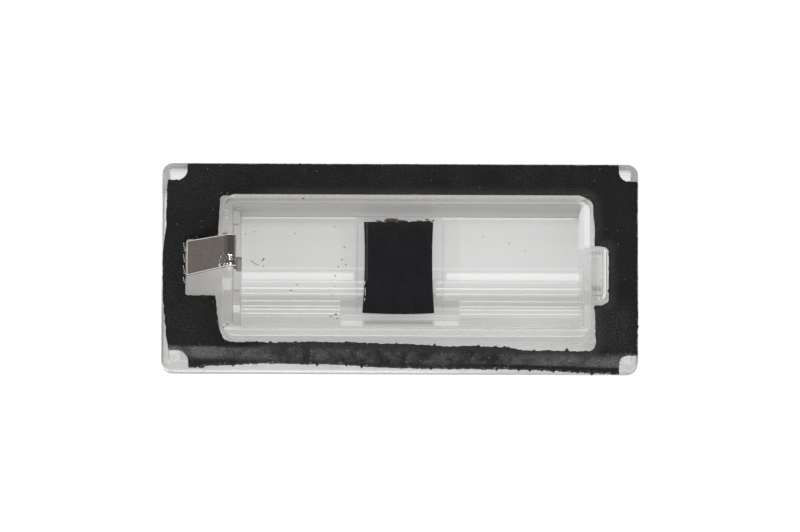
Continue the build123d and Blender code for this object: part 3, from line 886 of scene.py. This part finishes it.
def frayed(loop, amount):
    """The outline with the bumps and nicks of a torn cut; amount gives their size at a point."""
    torn = []
    for i, point in enumerate(loop):
        at = point.to_3d()
        nick = max(0.0, noise.noise(at * NICK_OFTEN + NICK_SHIFT) - NICK_START)
        out = outward(loop, i) * (waves(at, FRAY_WAVES) + NICK_SIZE * nick)
        torn.append(point + out * amount(point))
    return torn


def crossings(loop, y):
    """Where an outline crosses a line along X."""
    return [
        a.x + (y - a.y) / (b.y - a.y) * (b.x - a.x) for a, b in sides_of(loop) if (a.y > y) != (b.y > y)
    ]


def grid_inside(loops, step, margin, near):
    """Grid points within the outlines, off their edges."""
    points = []
    high = max(p.y for loop in loops for p in loop)
    y = min(p.y for loop in loops for p in loop) + step / 2
    while y < high:
        cuts = sorted(x for loop in loops for x in crossings(loop, y))
        for start, stop in zip(cuts[::2], cuts[1::2]):
            for k in range(int((stop - start) / step)):
                point = Vector((start + (k + 0.5) * step, y))
                if near(point) > margin:
                    points.append(point)
        y += step
    return points


def in_loop(point, loop):
    return sum(point.x < x for x in crossings(loop, point.y)) % 2 == 1


def filled(loops, points):
    """Triangles over the face between the outlines, through the points given."""
    corners = [p for loop in loops for p in loop] + points
    edges = []
    start = 0
    for loop in loops:
        edges += [(start + i, start + (i + 1) % len(loop)) for i in range(len(loop))]
        start += len(loop)
    verts, _, faces, sources, _, _ = geometry.delaunay_2d_cdt(corners, edges, [], 1, 1e-5)
    first_hole = len(loops[0])
    kept = []
    for face in faces:
        ends = [min(sources[v]) if sources[v] else -1 for v in face]
        if all(first_hole <= e < start for e in ends):
            middle = sum((verts[v] for v in face), Vector((0.0, 0.0))) / 3
            if any(in_loop(middle, hole) for hole in loops[1:]):
                continue
        kept.append(tuple(face))
    return verts, kept, sources


def boundary_tree(loops):
    """Gives the distance of a point from the outlines."""
    edge_points = [p for loop in loops for p in loop]
    tree = kdtree.KDTree(len(edge_points))
    for i, point in enumerate(edge_points):
        tree.insert(point.to_3d(), i)
    tree.balance()
    return lambda point: tree.find(point.to_3d())[2]


def sheet_piece(loops, points, bottom, top, sides, bulge):
    """A closed sheet: its face through the points, upright cut sides and a flat underside.
    Returns its points, the faces of its face and sides, and those of its underside."""
    flat, shown, sources = filled(loops, points)
    rim = {min(s): v for v, s in enumerate(sources) if s}
    verts = [(p.x, p.y, top(p)) for p in flat]
    start = 0
    base = {}
    for loop in loops:
        count = len(loop)
        rings = [[rim[start + i] for i in range(count)]]
        for share in sides[1:]:
            ring = []
            for i, point in enumerate(loop):
                upper = verts[rings[0][i]][2]
                out = point + outward(loop, i) * bulge(point, share)
                ring.append(len(verts))
                verts.append((out.x, out.y, upper + (bottom - upper) * share))
            rings.append(ring)
        for upper, lower in zip(rings, rings[1:]):
            for i in range(count):
                j = (i + 1) % count
                shown.append((upper[i], lower[i], lower[j], upper[j]))
        base.update({start + i: rings[-1][i] for i in range(count)})
        start += count
    starts = (0, len(loops[0]))
    foot = [[Vector(verts[base[o + i]][:2]) for i in range(len(loop))] for loop, o in zip(loops, starts)]
    _, under, under_sources = filled(foot, [])
    hidden = [tuple(base[min(under_sources[v])] for v in reversed(f)) for f in under]
    return verts, shown, hidden


# Pieces


def foam_gasket(foam, adhesive):
    """Die-cut foam with soft frayed edges; its low strip slopes away over the skirt."""
    low, high = (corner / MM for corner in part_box("gasket"))

    def fray(point):
        share = step_up(point.y, 6.0, -14.0)
        return FOAM_FRAY + (FOAM_FRAY_LOW - FOAM_FRAY) * share * share

    def opening_cut(point):
        """The opening's cut wanders along its sides and round the hook's notch, and is squarer in the
        corners beside the clip."""
        share = max(0.0, point.y - FOAM_CLIP_Y) / (FOAM_FAR_Y - FOAM_CLIP_Y)
        dx = -FOAM_SQUARE * share * step_up(point.x, FOAM_SQUARE_X, FOAM_SQUARE_X - 4.0)
        dx += HOOK_NOTCH_CUT * step_up(point.x, 36.0, 37.0)
        dx += between(HOOK_END_CUT, point.y) * step_up(point.x, 31.0, 33.5)
        dy = between(LOW_OPENING_CUT, point.x) * step_up(-point.y, 12.0, 13.5)
        dy += TOP_OPENING_CUT * step_up(point.y, 12.0, 12.6)
        dy += between(HOOK_NOTCH_ENDS, point.y) * step_up(point.x, 33.0, 34.0)
        for corner_x, corner_y, reach, shift_x, shift_y in OPENING_CORNERS:
            near_corner = math.exp(-((point - Vector((corner_x, corner_y))).length / reach) ** 2)
            dx += shift_x * near_corner
            dy += shift_y * near_corner
        return point + Vector((dx, dy))

    def outer_cut(point):
        dx = between(CLIP_END_CUT, point.y) * step_up(-point.x, 40.0, 42.0)
        dx += HOOK_OUTER_CUT * step_up(point.x, 42.0, 43.0)
        beside_notch = step_up(point.x, -41.0, -39.5) * step_up(-point.x, 36.0, 39.0)
        dx += LOW_NOTCH_CUT * step_up(-point.y, 16.0, 18.8) * beside_notch
        dy = between(LOW_OUTER_CUT, point.x) * step_up(-point.y, 17.0, 18.0)
        dy += TOP_OUTER_CUT * step_up(point.y, 16.5, 17.5)
        return point + Vector((dx, dy))

    outer, opening = (resampled(loop, FOAM_STEP) for loop in cap_loops("gasket"))
    opening = frayed([opening_cut(point) for point in opening], fray)
    loops = [frayed([outer_cut(point) for point in outer], fray), opening]
    near = boundary_tree(loops)
    near_opening = boundary_tree([opening])
    points = []
    for inset in FOAM_INSETS:
        for loop in loops:
            for i, point in enumerate(loop):
                inner = point - outward(loop, i) * inset
                if near(inner) > 0.85 * inset:
                    points.append(inner)
    points += grid_inside(loops, FOAM_GRID, FOAM_INSETS[-1] + FOAM_GAP, near)

    def top(point):
        share = min(1.0, near(point) / FOAM_EDGE_ROUND)
        edge = FOAM_EDGE_DROP * (1.0 - math.sqrt(1.0 - (1.0 - share) ** 2))
        fall = FOAM_LOW_DROP * step_up(point.y, FOAM_LOW_START, FOAM_LOW_END) ** FOAM_LOW_CURVE
        return high.z - FOAM_SINK - edge - fall + waves(point.to_3d(), FOAM_LUMPS)

    def bulge(point, share):
        tatters = max(0.0, 0.25 + waves(point.to_3d(), FOAM_TATTERS))
        return FOAM_BULGE * math.sin(math.pi * share) + FOAM_FRINGE * tatters * max(0.0, share - 0.9) * 10.0

    verts, shown, hidden = sheet_piece(loops, points, low.z, top, FOAM_SIDES, bulge)
    piece = new_piece("foam_gasket", verts, shown + hidden, [foam, adhesive], "gasket")
    mark_points(piece, "cut", lambda at: 1.0 - near(at.xy) / FOAM_CUT)
    # nearness to the opening, for its wear and painted highlight
    mark_points(piece, "wear_and_sheen", lambda at: 1.0 - near_opening(at.xy) / FOAM_EDGE_SHEEN_REACH)
    for polygon in piece.data.polygons:
        if polygon.center.z < (low.z + FOAM_SKIN) * MM:
            polygon.material_index = 1
            polygon.use_smooth = False
    return piece


def black_film(finish):
    """Thin film, cut by hand, lying on the land."""
    low, high = (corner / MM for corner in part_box("light_mask"))

    def uneven(point):
        """The cut wanders out at the clip's side and at the top."""
        side = step_up(point.x, -4.0, -6.0)
        top = step_up(point.y - high.y, -1.5, 0.0)
        return point + Vector((-FILM_SPREAD * side, FILM_SPREAD * top))

    outline = [uneven(point) for point in resampled(cap_loops("light_mask")[0], FILM_STEP)]
    loops = [frayed(outline, lambda point: FILM_FRAY)]
    near = boundary_tree(loops)
    points = grid_inside(loops, FILM_GRID, FILM_GAP, near)

    def top(point):
        edge = FILM_LIFT * max(0.0, 1.0 - near(point) / FILM_EDGE)
        return high.z - FILM_SINK - edge + FILM_LIFT * noise.noise(point.to_3d() * 0.35)

    verts, shown, hidden = sheet_piece(loops, points, low.z, top, FILM_SIDES, lambda point, share: 0.0)
    piece = new_piece("black_film", verts, shown + hidden, [finish], "light_mask")
    piece.data.set_sharp_from_angle(angle=SHARP)
    return piece


def clip_line(high):
    """Middle line of the strip in X and Z with its outward direction, from the foot of the leg."""
    half = CLIP_STRIP / 2
    leg_x = high.x - CLIP_TAB - CLIP_STRIP + half
    bend_x = leg_x - CLIP_BEND
    bend_z = high.z - half - CLIP_BEND
    turn = math.pi / 2 + CLIP_SLOPE
    line = []
    for k in range(CLIP_LEG_STEPS):
        line.append((leg_x, bend_z - CLIP_LEG * (1.0 - k / CLIP_LEG_STEPS), 0.0))
    for k in range(CLIP_BEND_STEPS + 1):
        a = turn * k / CLIP_BEND_STEPS
        line.append((bend_x + CLIP_BEND * math.cos(a), bend_z + CLIP_BEND * math.sin(a), a))
    x, z, _ = line[-1]
    for k in range(1, CLIP_LEAF_STEPS + 1):
        s = CLIP_LEAF * k / CLIP_LEAF_STEPS
        line.append((x - s * math.cos(CLIP_SLOPE), z - s * math.sin(CLIP_SLOPE), turn))
    return line, leg_x, bend_x


def steel_clip(finish):
    """The bent strip with rounded edges, creased at one corner of its hairpin, and the tab on its leg."""
    low, high = (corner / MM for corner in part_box("spring_clip"))
    middle = (low.y + high.y) / 2
    line, leg_x, bend_x = clip_line(high)
    half = CLIP_STRIP / 2

    def width_at(x):
        """Half width of the strip, and how far it lies off the middle."""
        share = step_up(x, bend_x, low.x)
        width = CLIP_ROOT_WIDTH + (CLIP_TIP_WIDTH - CLIP_ROOT_WIDTH) * share
        return width / 2, CLIP_SKEW[0] + (CLIP_SKEW[1] - CLIP_SKEW[0]) * share

    steps = [-1.0, -0.98, -0.955] + [-0.93 + 1.86 * k / 24 for k in range(25)] + [0.955, 0.98, 1.0]
    section = [(t, 1.0) for t in steps] + [(t, -1.0) for t in reversed(steps)]
    verts = []
    for x, z, facing in line:
        half_width, skew = width_at(x)
        out = Vector((math.cos(facing), 0.0, math.sin(facing)))
        apart = math.hypot(x - (bend_x - 0.55), z - (high.z - 0.35))
        near_bend = max(0.0, 1.0 - apart / CLIP_CREASE_LENGTH)
        for t, side in section:
            from_edge = (1.0 - abs(t)) * half_width
            soft = CLIP_EDGE * max(0.0, 1.0 - from_edge / CLIP_EDGE_REACH) ** 2
            y = middle + t * half_width
            point = Vector((x, y + skew, z)) + out * side * (half - soft)
            near_low = max(0.0, 1.0 - (y - (middle - half_width)) / CLIP_CREASE_WIDTH)
            if facing > 0.3 and near_low * near_bend > 0.0:
                crease = waves(Vector((x, y, z)), CLIP_CREASE_WAVES)
                weight = min(1.0, 3.0 * near_low * near_bend)
                point += out * CLIP_CREASE * weight * (crease + 0.15)
            verts.append(tuple(point))
    ring = len(section)
    last = (len(line) - 1) * ring
    faces = []
    for a in range(0, last, ring):
        for i in range(ring):
            j = (i + 1) % ring
            faces.append((a + i, a + j, a + ring + j, a + ring + i))
    faces.append(tuple(reversed(range(ring))))
    faces.append(tuple(last + i for i in range(ring)))
    piece = new_piece("steel_clip", verts, faces, [finish], "spring_clip")

    body = bmesh.new()
    body.from_mesh(piece.data)
    tab = bmesh.ops.create_cube(body, size=1.0)["verts"]
    size = Vector((CLIP_TAB, CLIP_TAB_WIDTH, CLIP_STRIP)) * MM
    centre = Vector((leg_x + half + CLIP_TAB / 2, middle + CLIP_TAB_OFFSET, line[0][1] + half)) * MM
    for v in tab:
        v.co = Vector((v.co.x * size.x, v.co.y * size.y, v.co.z * size.z)) + centre
    edges = {e for v in tab for e in v.link_edges}
    bmesh.ops.bevel(
        body, geom=list(edges), offset=CLIP_TAB_BEVEL * MM, segments=2, affect="EDGES", profile=0.5,
    )
    bmesh.ops.recalc_face_normals(body, faces=body.faces)
    body.to_mesh(piece.data)
    body.free()

    # nearness to the cut edges, where the painted highlight and dark line go
    def sheared_glint(at):
        half_width, skew = width_at(at.x)
        return 1.0 - min(half_width - abs(at.y - skew - middle), at.x - low.x) / CLIP_CUT

    mark_points(piece, "cut", sheared_glint)
    piece.data.shade_smooth()
    piece.data.set_sharp_from_angle(angle=SHARP)
    return piece


def flake_tree(material):
    """Turns points into thin uneven flakes; each point carries its flake's size and turn."""
    tree = bpy.data.node_groups.new("dirt_flakes", "GeometryNodeTree")
    tree.interface.new_socket("Points", in_out="INPUT", socket_type="NodeSocketGeometry")
    wobble = tree.interface.new_socket("Unevenness", in_out="INPUT", socket_type="NodeSocketFloat")
    seed = tree.interface.new_socket("Seed", in_out="INPUT", socket_type="NodeSocketInt")
    tree.interface.new_socket("Flakes", in_out="OUTPUT", socket_type="NodeSocketGeometry")
    given = tree.nodes.new("NodeGroupInput")
    ball = new_value(tree, "GeometryNodeMeshIcoSphere", Radius=0.5, Subdivisions=3)
    spread = new_value(tree, "GeometryNodeInputNamedAttribute", data_type="FLOAT_VECTOR", Name="spread")
    turn = new_value(tree, "GeometryNodeInputNamedAttribute", data_type="FLOAT", Name="turn")
    about = new_value(tree, "ShaderNodeCombineXYZ", Z=turn)
    spin = new_value(tree, "FunctionNodeEulerToRotation", Euler=about)
    each = new_value(
        tree, "GeometryNodeInstanceOnPoints", Points=Value(given, "Points"), Instance=ball, Rotation=spin,
        Scale=spread,
    )
    whole = new_value(tree, "GeometryNodeRealizeInstances", Geometry=each)
    where = new_value(tree, "GeometryNodeInputPosition")
    shift = new_value(
        tree, "FunctionNodeRandomValue", data_type="FLOAT_VECTOR", ID=0, Seed=Value(given, "Seed"),
    )
    moved = vector_math("ADD", where, shift)
    rough = new_value(tree, "ShaderNodeTexNoise", output="Color", Vector=moved, Scale=4.0 / MM, Detail=2.0)
    centred = vector_math("SUBTRACT", rough, (0.5, 0.5, 0.5))
    flat = vector_math("MULTIPLY", centred, (1.0, 1.0, 0.0))
    offset = vector_math("SCALE", flat, Scale=Value(given, "Unevenness"))
    torn = new_value(tree, "GeometryNodeSetPosition", Geometry=whole, Offset=offset)
    painted = new_value(tree, "GeometryNodeSetMaterial", Geometry=torn, Material=material)
    new_node(tree, "NodeGroupOutput", painted)
    return tree, wobble.identifier, seed.identifier


def flakes(name, spots, level, thickness, seed, material):
    """Flakes lying at one level of the lens, as dirt and as painted glints."""
    mesh = bpy.data.meshes.new(name + "_spots")
    mesh.from_pydata(to_metres([(x, y, level) for x, y, *_ in spots]), [], [])
    spread = mesh.attributes.new("spread", "FLOAT_VECTOR", "POINT")
    for i, (_, _, length, width, _) in enumerate(spots):
        spread.data[i].vector = (length * FLAKE_SIZE * MM, width * FLAKE_SIZE * MM, thickness * MM)
    turn = mesh.attributes.new("turn", "FLOAT", "POINT")
    turn.data.foreach_set("value", [math.radians(degrees) for *_, degrees in spots])
    holder = new_object(name + "_spots", mesh)
    tree, wobble_id, seed_id = flake_tree(material)
    nodes = holder.modifiers.new("flakes", "NODES")
    nodes.node_group = tree
    nodes[wobble_id] = FLAKE_UNEVEN * MM
    nodes[seed_id] = seed
    made = bpy.data.meshes.new_from_object(holder.evaluated_get(bpy.context.evaluated_depsgraph_get()))
    made.name = name
    bpy.data.objects.remove(holder)
    made.materials.clear()
    made.materials.append(material)
    made.polygons.foreach_set("material_index", [0] * len(made.polygons))
    made.shade_smooth()
    return place(new_object(name, made))


# Studio


def staged(name, corners, material):
    mesh = bpy.data.meshes.new(name)
    mesh.from_pydata(corners, [], [(0, 1, 2, 3)])
    mesh.materials.append(material)
    made = new_object(name, mesh)
    return made


def make_floor():
    corners = ((-1, -1), (1, -1), (1, 1), (-1, 1))
    staged("floor", [(x * FLOOR_HALF, y * FLOOR_HALF, -FLOOR_DROP) for x, y in corners], floor_white())


def make_flag():
    """A small grey card beyond the clip, out of the picture, for the steel to mirror."""
    made, _ = new_material("flag_grey")
    corners = ((-1, 0), (1, 0), (1, 1), (-1, 1))
    flag = staged(
        "flag", to_metres([(FLAG_X, y * FLAG_HALF, z * FLAG_HEIGHT) for y, z in corners]),
        shaded(made, "ShaderNodeEmission", Color=FLAG_GREY),
    )
    flag.visible_camera = False
    flag.visible_diffuse = False
    flag.visible_shadow = False
    flag.visible_transmission = False


def make_camera():
    data = bpy.data.cameras.new("camera")
    data.lens = CAMERA_FOCAL
    data.sensor_width = CAMERA_SENSOR
    data.clip_start = CAMERA_CLIP
    camera = new_object("camera", data)
    turn = Matrix.Rotation(CAMERA_TILT, 4, "X") @ Matrix.Rotation(CAMERA_ROLL, 4, "Z")
    back = Vector((0.0, -math.sin(CAMERA_TILT), math.cos(CAMERA_TILT)))
    camera.matrix_world = Matrix.Translation(CAMERA_TARGET + back * CAMERA_DISTANCE) @ turn
    bpy.context.scene.camera = camera


def make_lights():
    world = bpy.data.worlds.new("studio")
    world.use_nodes = True
    feed(world.node_tree.nodes["Background"].inputs["Color"], WORLD_GREY)
    bpy.context.scene.world = world
    for name, azimuth, elevation, distance, width, height, watts in SOFT_BOXES:
        data = bpy.data.lights.new(name, "AREA")
        data.shape = "RECTANGLE"
        data.size = width
        data.size_y = height
        data.energy = watts
        lamp = new_object(name, data)
        a, e = math.radians(azimuth), math.radians(elevation)
        away = Vector((math.cos(a) * math.cos(e), math.sin(a) * math.cos(e), math.sin(e)))
        lamp.location = away * distance
        lamp.rotation_mode = "QUATERNION"
        lamp.rotation_quaternion = (-away).to_track_quat("-Z", "Y")
        lamp.visible_glossy = name not in MATT_ONLY


bpy.context.scene.view_settings.view_transform = "Standard"
make_camera()
make_lights()
make_floor()
make_flag()
dust = speck_group()
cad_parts["lens"].material_slots[0].material = clear_plastic()
foam_gasket(gasket_foam(dust), foam_adhesive())
black_film(mask_film(dust))
steel_clip(clip_steel())
dark_dirt = dirt("dark_dirt", *DARK_DIRT)
rust_dirt = dirt("rust_dirt", *RUST_DIRT)
flakes("floor_dirt", DARK_FLAKES, PLATE_LEVEL + 0.1, 0.16, 4, dark_dirt)
flakes("rust_specks", RUST_FLAKES, PLATE_LEVEL + 0.1, 0.18, 9, rust_dirt)
flakes("rim_dirt", RIM_FLAKES, RIM_LEVEL + 0.02, 0.12, 6, dark_dirt)
glue = dirt("dry_glue", *DRY_GLUE)
flakes("film_glue", GLUE_FLAKES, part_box("light_mask")[0].z / MM + 0.03, 0.14, 3, glue)
pale_threads_and_glints = dirt("pale_threads_and_glints", *PALE_THREADS_AND_GLINTS)
flakes("rim_scratches", RIM_GLINT_MARKS, RIM_LEVEL + 0.01, 0.05, 2, pale_threads_and_glints)
flakes("notch_threads", NOTCH_THREADS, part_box("gasket")[1].z / MM - 0.1, 0.2, 7, pale_threads_and_glints)
flakes("film_glints", FILM_GLINTS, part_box("light_mask")[1].z / MM, 0.06, 5, pale_threads_and_glints)
